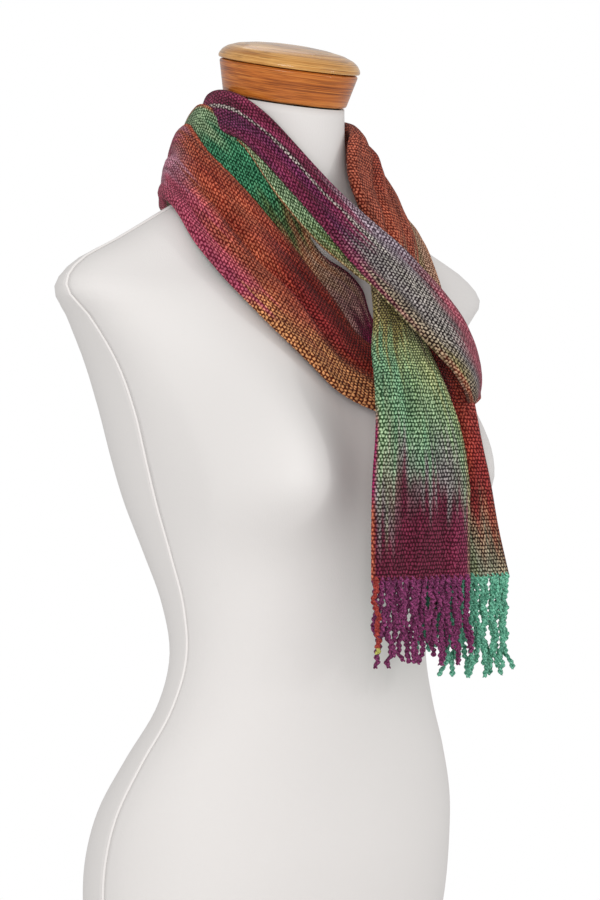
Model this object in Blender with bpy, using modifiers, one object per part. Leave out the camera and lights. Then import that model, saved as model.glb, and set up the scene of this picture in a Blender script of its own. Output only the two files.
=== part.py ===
"""A female dress form on a countertop stand, wearing a hand-woven scarf looped round its neck.

Metres, +Z up. The form faces -Y and the wearer's left is +X. The origin is on the stand's axis,
at the floor.
"""

import math

import bmesh
import bpy
import numpy as np
from mathutils import Matrix, Vector
from mathutils.bvhtree import BVHTree

COLLECTION = "dress_form_with_scarf"
GAP = 0.0003

# ---- torso: z, half width, y of the side seam, depth in front, depth behind, and the two
# superellipse powers that square the front and the back
TORSO = [
    (0.190, 0.158, 0.008, 0.080, 0.104, 2.2, 2.3),
    (0.250, 0.167, 0.004, 0.092, 0.111, 2.2, 2.3),
    (0.294, 0.168, 0.001, 0.096, 0.108, 2.2, 2.3),
    (0.336, 0.163, -0.008, 0.090, 0.100, 2.2, 2.3),
    (0.378, 0.147, -0.020, 0.082, 0.087, 2.2, 2.3),
    (0.420, 0.126, -0.031, 0.077, 0.076, 2.2, 2.3),
    (0.461, 0.114, -0.035, 0.078, 0.079, 2.2, 2.3),
    (0.503, 0.117, -0.036, 0.084, 0.091, 2.2, 2.4),
    (0.545, 0.127, -0.032, 0.092, 0.105, 2.2, 2.5),
    (0.587, 0.137, -0.026, 0.098, 0.118, 2.2, 2.6),
    (0.620, 0.143, -0.021, 0.098, 0.122, 2.2, 2.7),
    (0.660, 0.151, -0.016, 0.089, 0.123, 2.3, 2.8),
    (0.700, 0.166, -0.012, 0.078, 0.118, 2.4, 2.8),
    (0.735, 0.190, -0.010, 0.064, 0.105, 2.4, 2.6),
    (0.758, 0.210, -0.009, 0.054, 0.086, 2.3, 2.4),
    (0.778, 0.196, -0.007, 0.045, 0.072, 2.2, 2.2),
    (0.798, 0.158, -0.006, 0.043, 0.061, 2.1, 2.1),
    (0.820, 0.118, -0.006, 0.043, 0.056, 2.0, 2.0),
    (0.840, 0.082, -0.008, 0.046, 0.052, 2.0, 2.0),
    (0.860, 0.060, -0.010, 0.049, 0.050, 2.0, 2.0),
    (0.885, 0.052, -0.012, 0.050, 0.050, 2.0, 2.0),
    (0.918, 0.050, -0.013, 0.050, 0.050, 2.0, 2.0),
]
BUST_X, BUST_Z, BUST_OUT = 0.086, 0.614, 0.058
BUST_WIDE, BUST_ABOVE, BUST_BELOW = 0.055, 0.085, 0.052
NECK_TILT = math.radians(13)
TILT_FROM, TILT_TO = 0.80, 0.90
COLUMNS = 36
RING_Z = [
    0.190, 0.222, 0.254, 0.290, 0.326, 0.362, 0.398, 0.432, 0.464, 0.498, 0.530, 0.560, 0.586,
    0.610, 0.634, 0.660, 0.688, 0.714, 0.738, 0.758, 0.774, 0.790, 0.806, 0.822, 0.838, 0.854,
    0.872, 0.894, 0.918,
]
JERSEY = 0.0012
SHELL = 0.004
SEAM_GAP = 0.0004

# ---- scarf: one strip, folded lengthwise. Each row is a point on the folded edge, a point on
# the open edge, the least height of the middle over the form, and how far the rear flap
# stands out beyond the front one
ROUTE = [
    # front tail, from its end up
    ((-0.041, -0.182, 0.528), (0.048, -0.192, 0.528), 0.008, 0.000),
    ((-0.041, -0.182, 0.568), (0.048, -0.192, 0.568), 0.008, 0.000),
    ((-0.040, -0.182, 0.606), (0.047, -0.192, 0.606), 0.008, 0.000),
    ((-0.035, -0.180, 0.644), (0.042, -0.188, 0.644), 0.008, 0.000),
    ((-0.028, -0.170, 0.680), (0.038, -0.174, 0.680), 0.008, 0.000),
    ((-0.014, -0.148, 0.708), (0.042, -0.150, 0.708), 0.008, 0.000),
    ((0.006, -0.126, 0.736), (0.052, -0.126, 0.734), 0.008, 0.000),
    ((0.020, -0.104, 0.768), (0.070, -0.102, 0.764), 0.014, 0.000),
    # round the wearer's left side of the neck and behind it, next to the neck
    ((0.038, -0.082, 0.812), (0.088, -0.078, 0.798), 0.018, 0.000),
    ((0.050, -0.054, 0.850), (0.098, -0.050, 0.826), 0.019, 0.000),
    ((0.058, -0.022, 0.880), (0.102, -0.016, 0.846), 0.020, 0.000),
    ((0.058, 0.012, 0.893), (0.090, 0.022, 0.860), 0.014, 0.000),
    ((0.040, 0.042, 0.898), (0.060, 0.056, 0.858), 0.009, 0.000),
    ((0.000, 0.054, 0.902), (0.000, 0.076, 0.856), 0.009, 0.000),
    ((-0.038, 0.040, 0.914), (-0.056, 0.050, 0.870), 0.009, 0.000),
    ((-0.056, 0.008, 0.926), (-0.070, 0.010, 0.888), 0.009, 0.002),
    # upper strand of the loop, down across the front
    ((-0.055, -0.026, 0.918), (-0.066, -0.030, 0.884), 0.009, 0.004),
    ((-0.048, -0.050, 0.900), (-0.060, -0.052, 0.866), 0.009, 0.006),
    ((-0.032, -0.068, 0.876), (-0.044, -0.073, 0.842), 0.009, 0.010),
    ((-0.008, -0.087, 0.842), (-0.022, -0.093, 0.808), 0.009, 0.012),
    ((0.018, -0.102, 0.814), (-0.008, -0.114, 0.778), 0.009, 0.012),
    ((0.040, -0.116, 0.792), (0.004, -0.132, 0.756), 0.009, 0.006),
    ((0.056, -0.128, 0.770), (0.016, -0.150, 0.734), 0.009, 0.000),
    ((0.070, -0.138, 0.750), (0.029, -0.167, 0.712), 0.009, 0.000),
    ((0.080, -0.144, 0.733), (0.047, -0.182, 0.694), 0.009, 0.000),
    ((0.089, -0.146, 0.715), (0.066, -0.190, 0.678), 0.009, 0.000),
    # the bend at the end of the loop
    ((0.100, -0.136, 0.700), (0.084, -0.184, 0.668), 0.009, 0.000),
    ((0.110, -0.128, 0.684), (0.097, -0.164, 0.662), 0.009, 0.000),
    ((0.108, -0.128, 0.662), (0.086, -0.142, 0.672), 0.009, 0.000),
    ((0.090, -0.144, 0.649), (0.074, -0.128, 0.690), 0.009, 0.000),
    # lower strand of the loop, behind the tails and up to the wearer's right shoulder
    ((0.061, -0.149, 0.650), (0.054, -0.120, 0.700), 0.009, 0.004),
    ((0.034, -0.140, 0.652), (0.038, -0.114, 0.706), 0.009, 0.008),
    ((0.004, -0.130, 0.660), (0.022, -0.106, 0.710), 0.009, 0.020),
    ((-0.024, -0.121, 0.674), (0.010, -0.096, 0.722), 0.009, 0.028),
    ((-0.050, -0.110, 0.698), (-0.002, -0.084, 0.748), 0.009, 0.028),
    ((-0.070, -0.096, 0.724), (-0.015, -0.068, 0.774), 0.009, 0.024),
    ((-0.085, -0.083, 0.744), (-0.032, -0.062, 0.796), 0.009, 0.016),
    ((-0.101, -0.066, 0.768), (-0.055, -0.056, 0.822), 0.009, 0.008),
    ((-0.116, -0.048, 0.796), (-0.071, -0.042, 0.846), 0.009, 0.004),
    ((-0.120, -0.022, 0.820), (-0.081, -0.018, 0.868), 0.010, 0.000),
    ((-0.112, 0.014, 0.830), (-0.086, 0.014, 0.880), 0.014, 0.000),
    # behind the neck, outside the first strand
    ((-0.098, 0.054, 0.826), (-0.082, 0.050, 0.872), 0.019, 0.000),
    ((-0.062, 0.090, 0.822), (-0.052, 0.078, 0.870), 0.019, 0.000),
    ((0.000, 0.102, 0.820), (0.000, 0.090, 0.870), 0.019, 0.000),
    ((0.068, 0.092, 0.818), (0.058, 0.082, 0.862), 0.019, 0.000),
    # under the first strand on the wearer's left, and down to the rear tail
    ((0.112, 0.050, 0.808), (0.098, 0.046, 0.840), 0.012, 0.000),
    ((0.124, 0.000, 0.824), (0.092, 0.000, 0.842), 0.008, 0.000),
    ((0.124, -0.038, 0.806), (0.088, -0.036, 0.826), 0.008, 0.000),
    ((0.117, -0.066, 0.780), (0.078, -0.060, 0.792), 0.008, 0.000),
    ((0.110, -0.086, 0.756), (0.070, -0.078, 0.764), 0.008, 0.000),
    ((0.100, -0.108, 0.730), (0.058, -0.096, 0.736), 0.008, 0.000),
    ((0.083, -0.144, 0.700), (0.043, -0.130, 0.704), 0.008, 0.000),
    ((0.071, -0.171, 0.666), (0.028, -0.156, 0.668), 0.008, 0.000),
    ((0.071, -0.180, 0.634), (0.018, -0.166, 0.634), 0.008, 0.000),
    ((0.078, -0.182, 0.604), (0.012, -0.170, 0.604), 0.008, 0.000),
    ((0.086, -0.182, 0.568), (0.008, -0.170, 0.568), 0.008, 0.000),
    ((0.098, -0.182, 0.528), (0.010, -0.170, 0.528), 0.008, 0.000),
]
STRIP = 0.008
RING_STEP = 0.018
FLAP_SLOT = 0.010

# ---- fringes: strands, their width and the gaps between them, thickness, shortest and longest
STRANDS = 11
STRAND_THICK = 0.005
HEADER = 0.006
FRONT_FRINGE = (0.066, 0.074)
REAR_FRINGE = (0.076, 0.084)

# ---- stand
BASE_R, BASE_Z, BASE_TOP = 0.150, 0.0033, 0.028
PAD_R, PAD_H = 0.146, 0.003
RECESS_R, RECESS_TOP = 0.128, 0.0130
FLANGE_R, FLANGE_H, SCREW_CIRCLE = 0.045, 0.004, 0.034
OUTER_R, OUTER_IN, OUTER_TOP = 0.0160, 0.0145, 0.150
MAST_R, MAST_IN, MAST_Z, MAST_TOP = 0.0125, 0.0105, 0.045, 0.183
LOCK_Z = 0.120
KNOB_R, KNOB_LOBE, KNOB_SIDES = 0.0162, 0.0020, 40
SLEEVE_Z, SOCKET_TOP = 0.158, 0.1856
PLATE_Z = 0.1877
BOARD_Z, BOARD_TOP = 0.192, 0.208

# ---- neck cap, along the tilted neck
CAP_AT = Vector((0.0, -0.013, 0.918))
CAP_DIR = Vector((0.0, -math.sin(NECK_TILT), math.cos(NECK_TILT)))
DOWEL_R = 0.008


# ------------------------------------------------------------------ materials and objects
def material(name, colour, roughness, metallic=0.0):
    made = bpy.data.materials.new(name)
    made.use_nodes = True
    shader = made.node_tree.nodes["Principled BSDF"]
    shader.inputs["Base Color"].default_value = (*colour, 1.0)
    shader.inputs["Roughness"].default_value = roughness
    shader.inputs["Metallic"].default_value = metallic
    return made


LOOKS = {
    "varnished_wood": ((0.50, 0.20, 0.06), 0.25, 0.0),
    "pale_wood": ((0.62, 0.42, 0.22), 0.6, 0.0),
    "lid_wood": ((0.58, 0.27, 0.09), 0.25, 0.0),
    "steel": ((0.62, 0.62, 0.63), 0.3, 1.0),
    "dark_steel": ((0.20, 0.20, 0.21), 0.45, 1.0),
    "nylon": ((0.80, 0.80, 0.78), 0.5, 0.0),
    "black_plastic": ((0.03, 0.03, 0.03), 0.45, 0.0),
    "felt": ((0.10, 0.16, 0.12), 0.9, 0.0),
    "shell_board": ((0.62, 0.58, 0.50), 0.7, 0.0),
    "white_jersey": ((0.86, 0.85, 0.84), 0.85, 0.0),
    "woven_scarf": ((0.32, 0.10, 0.10), 0.9, 0.0),
    "purple_yarn": ((0.20, 0.03, 0.13), 0.9, 0.0),
    "teal_yarn": ((0.02, 0.32, 0.22), 0.9, 0.0),
}


def place(name, data, look):
    """Puts a mesh or curve in the scene as one named object; one with no look is a cutter."""
    obj = bpy.data.objects.new(name, data)
    if look is None:
        CUTTERS.objects.link(obj)
        obj.hide_render = True
        obj.display_type = "WIRE"
        return obj
    FORM.objects.link(obj)
    colour, roughness, metallic = LOOKS[look]
    data.materials.append(material(name, colour, roughness, metallic))
    return obj


def surface(name, points, faces, look):
    """An open surface, or a closed one whose faces are turned to point out."""
    mesh = bpy.data.meshes.new(name)
    mesh.from_pydata(points, [], faces)
    return place(name, mesh, look)


def loft(name, rings, look):
    """A closed solid through rings of equally many points."""
    sides = len(rings[0])
    bm = bmesh.new()
    verts = [[bm.verts.new(point) for point in ring] for ring in rings]
    bm.faces.new(verts[0])
    bm.faces.new(verts[-1])
    for low, high in zip(verts, verts[1:]):
        for i in range(sides):
            j = (i + 1) % sides
            bm.faces.new((low[i], low[j], high[j], high[i]))
    bmesh.ops.recalc_face_normals(bm, faces=bm.faces)
    mesh = bpy.data.meshes.new(name)
    bm.to_mesh(mesh)
    bm.free()
    return place(name, mesh, look)


def turned(name, profile, look, steps=32, at=None):
    """A profile of (radius, height) pairs, outer side upwards, turned about its own axis."""
    count = len(profile)
    open_ends = profile[0][0] == 0
    edges = [(i, (i + 1) % count) for i in range(count - open_ends)]
    mesh = bpy.data.meshes.new(name)
    mesh.from_pydata([(radius, 0, height) for radius, height in profile], edges, [])
    obj = place(name, mesh, look)
    screw = obj.modifiers.new("turn", "SCREW")
    screw.steps = screw.render_steps = steps
    screw.use_merge_vertices = True
    screw.merge_threshold = 0.00001
    screw.use_normal_flip = True
    obj.matrix_world = at or Matrix.Identity(4)
    return obj


def cylinder(name, radius, low, high, at=None, sides=16):
    """A cutter, or a plain shape that another piece is joined to."""
    bm = bmesh.new()
    up = Matrix.Translation((0, 0, (low + high) / 2))
    bmesh.ops.create_cone(
        bm, cap_ends=True, segments=sides, radius1=radius, radius2=radius, depth=high - low, matrix=up
    )
    mesh = bpy.data.meshes.new(name)
    bm.to_mesh(mesh)
    bm.free()
    obj = place(name, mesh, None)
    obj.matrix_world = at or Matrix.Identity(4)
    return obj


def cut(obj, cutter):
    modifier = obj.modifiers.new("cut_" + cutter.name, "BOOLEAN")
    modifier.operation = "DIFFERENCE"
    modifier.solver = "EXACT"
    modifier.object = cutter


def along_x():
    """The clamping screw's frame: its own +Z points along +X."""
    return Matrix.Translation((0, 0, LOCK_Z)) @ Matrix.Rotation(math.pi / 2, 4, "Y")


def empty(name, at, parent=None):
    made = bpy.data.objects.new(name, None)
    made.empty_display_size = 0.03
    FORM.objects.link(made)
    made.parent = parent
    made.matrix_world = Matrix.Translation(at)
    return made


def hold(parent, *objects):
    bpy.context.view_layer.update()
    for obj in objects:
        obj.parent = parent
        obj.matrix_parent_inverse = parent.matrix_world.inverted()


# ------------------------------------------------------------------ the torso's surface
def spline(rows, where):
    """A Catmull-Rom curve through rows, whose first column is the position along it."""
    rows = np.array(rows, float)
    at = rows[:, 0]
    slope = np.gradient(rows[:, 1:], at, axis=0)
    i = np.clip(np.searchsorted(at, where, "right") - 1, 0, len(at) - 2)
    span = at[i + 1] - at[i]
    t = ((where - at[i]) / span)[:, None]
    span = span[:, None]
    low, high = rows[i, 1:], rows[i + 1, 1:]
    return (
        low * (2 * t**3 - 3 * t**2 + 1)
        + high * (3 * t**2 - 2 * t**3)
        + slope[i] * span * (t**3 - 2 * t**2 + t)
        + slope[i + 1] * span * (t**3 - t**2)
    )


def smooth(low, high, value):
    t = min(1.0, max(0.0, (value - low) / (high - low)))
    return t * t * (3 - 2 * t)


def torso_ring(z, count):
    """Points round the torso at one height, from the wearer's left seam towards the front."""
    half, side, front, back, n_front, n_back = spline(TORSO, np.array([z]))[0]
    ring = []
    for i in range(count):
        turn = 2 * math.pi * i / count
        c, s = math.cos(turn), math.sin(turn)
        power = 2 / (n_front if s >= 0 else n_back)
        x = half * math.copysign(abs(c) ** power, c)
        y = side - (front if s >= 0 else back) * math.copysign(abs(s) ** power, s)
        if s > 1e-6:
            reach = BUST_ABOVE if z > BUST_Z else BUST_BELOW
            share = min(1.0, 2.5 * s)
            base = x
            above = abs((z - BUST_Z) / reach) ** 2.2
            for way in (-1, 1):
                bump = math.exp(-(((base - way * BUST_X) / BUST_WIDE) ** 2) - above)
                y -= BUST_OUT * bump * share
                x += way * 0.012 * bump * share
        lean = smooth(TILT_FROM, TILT_TO, z) * (y - side) * math.tan(NECK_TILT)
        ring.append((x, y, z + lean))
    return ring


def torso_grid():
    return np.array([torso_ring(z, COLUMNS) for z in RING_Z])


def grid_normals(grid):
    round_it = np.roll(grid, -1, axis=1) - np.roll(grid, 1, axis=1)
    up = np.gradient(grid, axis=0)
    out = np.cross(up, round_it)
    neck = np.array(CAP_DIR)
    out[0, :, 2] = 0.0
    out[-1] -= (out[-1] @ neck)[:, None] * neck
    return out / np.linalg.norm(out, axis=2, keepdims=True)


def grid_faces(rows, columns, closed):
    """Quads facing out; closed joins the last column to the first."""
    faces = []
    for r in range(rows - 1):
        for c in range(columns if closed else columns - 1):
            a, b = r * columns + c, r * columns + (c + 1) % columns
            faces.append((a, a + columns, b + columns, b))
    return faces


def skin(name, grid, thickness, look, closed):
    """A wall whose outer face is a grid of points."""
    faces = grid_faces(*grid.shape[:2], closed)
    obj = surface(name, [tuple(p) for p in grid.reshape(-1, 3)], faces, look)
    wall = obj.modifiers.new("wall", "SOLIDIFY")
    wall.thickness = thickness
    wall.offset = -1
    return obj


def panel(name, grid, columns, look):
    """Half of the jersey: its edges stop just short of the side seams."""
    outer = grid[:, columns].copy()
    for edge, inward in ((0, 1), (-1, -2)):
        step = outer[:, inward] - outer[:, edge]
        outer[:, edge] += SEAM_GAP * step / np.linalg.norm(step, axis=1, keepdims=True)
    return skin(name, outer, JERSEY, look, False)


def build_torso():
    grid = torso_grid()
    half = COLUMNS // 2
    front = list(range(half + 1))
    back = list(range(half, COLUMNS)) + [0]
    panels = [
        panel("jersey_front", grid, front, "white_jersey"),
        panel("jersey_back", grid, back, "white_jersey"),
    ]
    under = grid - (JERSEY + GAP) * grid_normals(grid)
    shell = skin("torso_shell", under, SHELL, "shell_board", True)
    return [shell, *panels, build_board(), build_neck_plate()]


def build_board():
    """The board across the bottom, cut to the inside of the shell."""
    margin = JERSEY + GAP + SHELL + 0.001
    rings = []
    for z in (BOARD_Z, BOARD_TOP):
        ring = np.array(torso_ring(z, COLUMNS))
        ring[:, 2] = z
        step = np.roll(ring, -1, axis=0) - np.roll(ring, 1, axis=0)
        out = np.cross((0, 0, 1), step)
        out /= np.linalg.norm(out, axis=1, keepdims=True)
        rings.append(ring - out * margin)
    board = loft("base_board", rings, "pale_wood")
    drill_flange_holes(board, "board", BOARD_Z - 0.002, BOARD_Z + 0.0135)
    return board


def cap_frame():
    return Matrix.Translation(CAP_AT) @ Matrix.Rotation(NECK_TILT, 4, "X")


def build_neck_plate():
    profile = [(DOWEL_R + 0.0005, -0.016), (0.0415, -0.016), (0.0415, -0.004), (DOWEL_R + 0.0005, -0.004)]
    return turned("neck_plate", profile, "pale_wood", 36, cap_frame())


# ------------------------------------------------------------------ stand
def flange_points():
    turns = [math.pi / 4 + i * math.pi / 2 for i in range(4)]
    return [(SCREW_CIRCLE * math.cos(turn), SCREW_CIRCLE * math.sin(turn)) for turn in turns]


def drill_flange_holes(obj, label, low, high, radius=0.0023):
    for i, (x, y) in enumerate(flange_points()):
        cut(obj, cylinder(f"{label}_drill_{i}", radius, low, high, Matrix.Translation((x, y, 0)), 12))


def flange_screws(label, seat, way, length):
    """Four pan-head screws; way is +1 for heads above the plate and -1 for heads below it."""
    made = []
    for i, (x, y) in enumerate(flange_points()):
        head, tip = seat + way * 0.0026, seat - way * length
        profile = [(0, tip), (0.0020, tip + way * 0.003), (0.0020, seat), (0.0044, seat)]
        profile += [(0.0044, seat + way * 0.0012), (0.0030, head), (0, head)]
        if way < 0:
            profile.reverse()
        name = f"{label}_screw_{i + 1}"
        made.append(turned(name, profile, "dark_steel", 12, Matrix.Translation((x, y, 0))))
    return made


def build_base():
    pad = turned("base_pad", [(0, 0), (PAD_R, 0), (PAD_R, PAD_H), (0, PAD_H)], "felt", 48)
    profile = [
        (0, RECESS_TOP), (RECESS_R, RECESS_TOP), (RECESS_R, BASE_Z), (BASE_R - 0.003, BASE_Z),
        (BASE_R, BASE_Z + 0.003), (BASE_R, 0.0165), (BASE_R - 0.0015, 0.0215), (BASE_R - 0.0055, 0.0258),
        (BASE_R - 0.0115, BASE_TOP), (0, BASE_TOP),
    ]
    disc = turned("base_disc", profile, "varnished_wood", 48)
    drill_flange_holes(disc, "base", BASE_TOP - 0.0125, BASE_TOP + 0.002)
    low, high, wide = BASE_Z + GAP, RECESS_TOP - GAP, RECESS_R - 0.001
    plate = [(0, low), (wide, low), (wide, high), (0, high)]
    weight = turned("weight_plate", plate, "dark_steel", 40)
    return [pad, disc, weight]


def build_floor_flange():
    low = BASE_TOP + GAP
    top = low + FLANGE_H
    profile = [
        (0, low), (FLANGE_R, low), (FLANGE_R, top - 0.001), (FLANGE_R - 0.001, top), (0.0220, top),
        (0.0205, top + 0.0015), (0.0205, 0.060), (OUTER_R + GAP, 0.060), (OUTER_R + GAP, top), (0, top),
    ]
    flange = turned("floor_flange", profile, "steel")
    drill_flange_holes(flange, "flange", low - 0.002, top + 0.002)
    side = Matrix.Rotation(-math.pi / 2, 4, "X")
    at = Matrix.Translation((0, 0, 0.048)) @ side
    cut(flange, cylinder("grub_drill", 0.0027, 0.010, 0.025, at, 12))
    tip = OUTER_R + GAP
    grub = [
        (0, tip), (0.0018, tip), (0.0024, tip + 0.0008), (0.0024, 0.0215), (0.0012, 0.0215),
        (0.0012, 0.0195), (0, 0.0195),
    ]
    screw = turned("tube_grub_screw", grub, "dark_steel", 12, at)
    return [flange, screw, *flange_screws("floor_flange", top + GAP, 1, 0.014)]


def build_outer_tube():
    low = BASE_TOP + GAP + FLANGE_H + GAP
    profile = [(OUTER_IN, low), (OUTER_R, low), (OUTER_R, OUTER_TOP), (OUTER_IN, OUTER_TOP)]
    tube = turned("outer_tube", profile, "steel")
    cut(tube, cylinder("tube_drill", 0.0046, 0.008, 0.022, along_x()))
    top = OUTER_TOP + GAP
    bush = [
        (MAST_R + 0.0002, 0.132), (OUTER_IN - GAP, 0.132), (OUTER_IN - GAP, top), (OUTER_R, top),
        (OUTER_R, top + 0.002), (OUTER_R - 0.001, top + 0.003), (MAST_R + 0.0002, top + 0.003),
    ]
    return [tube, turned("guide_bush", bush, "nylon")]


def build_collar():
    inside = OUTER_R + GAP
    low, high = LOCK_Z - 0.014, LOCK_Z + 0.014
    profile = [
        (inside, low), (0.0215, low), (0.0225, low + 0.001), (0.0225, high - 0.001), (0.0215, high),
        (inside, high),
    ]
    collar = turned("height_collar", profile, "steel")
    boss = cylinder("collar_boss", 0.009, 0.019, 0.031, along_x(), 20)
    join = collar.modifiers.new("boss", "BOOLEAN")
    join.operation = "UNION"
    join.solver = "EXACT"
    join.object = boss
    cut(collar, cylinder("collar_drill", 0.0043, 0.010, 0.040, along_x()))
    return collar


def build_lock():
    """The clamping screw and its five-lobed knob, on one axis."""
    at = along_x()
    profile = [(0, MAST_R + GAP), (0.0030, MAST_R + GAP), (0.0040, 0.0142), (0.0040, 0.0470), (0, 0.0470)]
    screw = turned("lock_screw", profile, "dark_steel", 16, at)
    rings = []
    for height, shrink in ((0.0385, 0.0015), (0.0405, 0.0), (0.0500, 0.0), (0.0525, 0.0025)):
        turns = [2 * math.pi * i / KNOB_SIDES for i in range(KNOB_SIDES)]
        reach = [KNOB_R + KNOB_LOBE * math.cos(5 * turn) - shrink for turn in turns]
        rings.append([(r * math.cos(turn), r * math.sin(turn), height) for r, turn in zip(reach, turns)])
    knob = loft("lock_knob", rings, "black_plastic")
    knob.matrix_world = at
    cut(knob, cylinder("knob_drill", 0.0043, 0.0300, 0.0475, at))
    return screw, knob


def build_mast():
    profile = [(MAST_IN, MAST_Z), (MAST_R, MAST_Z), (MAST_R, MAST_TOP), (MAST_IN, MAST_TOP)]
    mast = turned("inner_mast", profile, "steel")
    low = MAST_TOP + GAP
    ring = [(0.0040, low), (0.0122, low), (0.0122, low + 0.002), (0.0040, low + 0.002)]
    return [mast, turned("thrust_washer", ring, "nylon")]


def build_socket():
    inside = MAST_R + 0.0004
    top = PLATE_Z + FLANGE_H
    profile = [
        (inside, SLEEVE_Z), (0.0155, SLEEVE_Z), (0.0165, SLEEVE_Z + 0.001), (0.0165, PLATE_Z - 0.0015),
        (0.0180, PLATE_Z), (FLANGE_R - 0.001, PLATE_Z), (FLANGE_R, PLATE_Z + 0.001), (FLANGE_R, top),
        (0, top), (0, SOCKET_TOP), (inside, SOCKET_TOP),
    ]
    socket = turned("socket_flange", profile, "steel")
    drill_flange_holes(socket, "socket", PLATE_Z - 0.002, top + 0.002)
    return [socket, *flange_screws("socket_flange", PLATE_Z - GAP, -1, 0.015)]


# ------------------------------------------------------------------ neck cap
def build_neck_cap():
    at = cap_frame()
    bore = DOWEL_R + GAP
    block = [
        (bore, 0.0012), (0.0470, 0.0012), (0.0490, 0.0025), (0.0572, 0.0270), (0.0565, 0.0285),
        (0.0545, 0.0290), (0, 0.0290), (0, 0.0210), (bore, 0.0210),
    ]
    lid = [
        (0, 0.0293), (0.0550, 0.0293), (0.0575, 0.0300), (0.0589, 0.0325), (0.0589, 0.0355),
        (0.0574, 0.0385), (0.0535, 0.0405), (0.0420, 0.0425), (0.0220, 0.0440), (0, 0.0445),
    ]
    dowel = [(0, -0.040), (0.0065, -0.040), (DOWEL_R, -0.0375), (DOWEL_R, 0.0200), (0, 0.0200)]
    return [
        turned("neck_block", block, "varnished_wood", 48, at),
        turned("neck_lid", lid, "lid_wood", 48, at),
        turned("neck_dowel", dowel, "pale_wood", 24, at),
    ]


# ------------------------------------------------------------------ scarf
def form_surface():
    grid = torso_grid()
    faces = grid_faces(*grid.shape[:2], True)
    return BVHTree.FromPolygons([Vector(p) for p in grid.reshape(-1, 3)], faces)


def lifted(point, surface, height):
    """The point, moved straight off the form where it is nearer than height."""
    point = Vector(point)
    near, normal, _, far = surface.find_nearest(point)
    side = 1.0 if (point - near).dot(normal) > 0 else -1.0
    if side * far >= height:
        return np.array(point)
    return np.array(near + normal * height)


def strip_stations():
    folded = np.array([row[0] for row in ROUTE])
    opened = np.array([row[1] for row in ROUTE])
    steps = [np.linalg.norm(np.diff(edge, axis=0), axis=1) for edge in (folded, opened)]
    at = np.concatenate([[0], np.cumsum(np.mean(steps, axis=0))])
    rest = np.array([row[2:] for row in ROUTE])
    rows = np.column_stack([at, folded, opened, rest])
    count = int(at[-1] / RING_STEP)
    return spline(rows, np.linspace(0, at[-1], count))


def strip_section(width, lip):
    """The strip's outline: (share across, reach past the open edge, share of thickness)."""
    slot = min(FLAP_SLOT, 0.3 * width)
    nose = 0.4 * STRIP / width
    return [
        (0.0, 0, 0.0), (nose, 0, 0.42), (0.14, 0, 0.5), (0.5, 0, 0.5), (0.86, 0, 0.5),
        (1.0, -0.001, 0.44), (1.0, 0, 0.26), (1.0, -0.001, 0.10), (1.0, -slot, 0.0),
        (1.0, lip - 0.001, -0.10), (1.0, lip, -0.26), (1.0, lip - 0.001, -0.44),
        (0.86, 0, -0.5), (0.5, 0, -0.5), (0.14, 0, -0.5), (nose, 0, -0.42),
    ]


def build_scarf():
    form = form_surface()
    stations = strip_stations()
    along = np.gradient(stations[:, 0:3], axis=0)
    rings = []
    for row, forward in zip(stations, along):
        folded, opened, height, lip = row[0:3], row[3:6], row[6], max(0.0, row[7])
        across = opened - folded
        width = np.linalg.norm(across)
        out = np.cross(across, forward)
        out /= np.linalg.norm(out)
        ring = []
        for share, reach, depth in strip_section(width, lip):
            middle = folded + across * share + across / width * reach
            ring.append(lifted(middle, form, height) + out * depth * STRIP)
        rings.append(ring)
    return loft("scarf", rings, "woven_scarf")


def build_fringe(name, left, right, lengths, look):
    """A comb of hanging strands under one end of the scarf."""
    left, right = Vector(left), Vector(right)
    across = right - left
    pitch = across.length / STRANDS
    outline = [(0, -HEADER), (0, 0), (across.length, 0), (across.length, -HEADER)]
    for i in reversed(range(STRANDS)):
        long = lengths[0] + (lengths[1] - lengths[0]) * abs(math.sin(2.3 * i))
        near, far = (i + 0.16) * pitch, (i + 0.84) * pitch
        outline += [(far, -HEADER), (far, -long), (near, -long), (near, -HEADER)]
    curve = bpy.data.curves.new(name, "CURVE")
    curve.dimensions = "2D"
    curve.fill_mode = "BOTH"
    curve.extrude = STRAND_THICK / 2
    line = curve.splines.new("POLY")
    line.points.add(len(outline) - 1)
    for point, (x, y) in zip(line.points, outline):
        point.co = (x, y, 0, 1)
    line.use_cyclic_u = True
    obj = place(name, curve, look)
    turn = Matrix.Rotation(math.atan2(across.y, across.x), 4, "Z") @ Matrix.Rotation(math.pi / 2, 4, "X")
    obj.matrix_world = Matrix.Translation(left - Vector((0, 0, 0.0006))) @ turn
    return obj


def build_scarf_set():
    return [
        build_scarf(),
        build_fringe("front_fringe", ROUTE[0][0], ROUTE[0][1], FRONT_FRINGE, "purple_yarn"),
        build_fringe("rear_fringe", ROUTE[-1][1], ROUTE[-1][0], REAR_FRINGE, "teal_yarn"),
    ]


# ------------------------------------------------------------------ assembly
def main():
    stand = empty("stand", (0, 0, 0))
    hold(stand, *build_base(), *build_floor_flange(), *build_outer_tube(), build_collar())
    screw, knob = build_lock()
    screw_holder = empty("lock_screw_axis", (0.0385, 0, LOCK_Z))
    hold(screw_holder, screw, knob)
    mast = empty("mast_axis", (0, 0, MAST_Z))
    hold(mast, *build_mast())
    torso = empty("torso_axis", (0, 0, SLEEVE_Z))
    hold(torso, *build_torso(), *build_socket(), *build_scarf_set())
    hold(empty("neck_cap_axis", CAP_AT), *build_neck_cap())


for old in list(bpy.data.objects):
    bpy.data.objects.remove(old)
FORM = bpy.data.collections.new(COLLECTION)
CUTTERS = bpy.data.collections.new("cutters")
bpy.context.scene.collection.children.link(FORM)
bpy.context.scene.collection.children.link(CUTTERS)
main()
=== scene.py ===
"""Dress form with a woven scarf: the finished look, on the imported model's frame."""

import math

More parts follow.
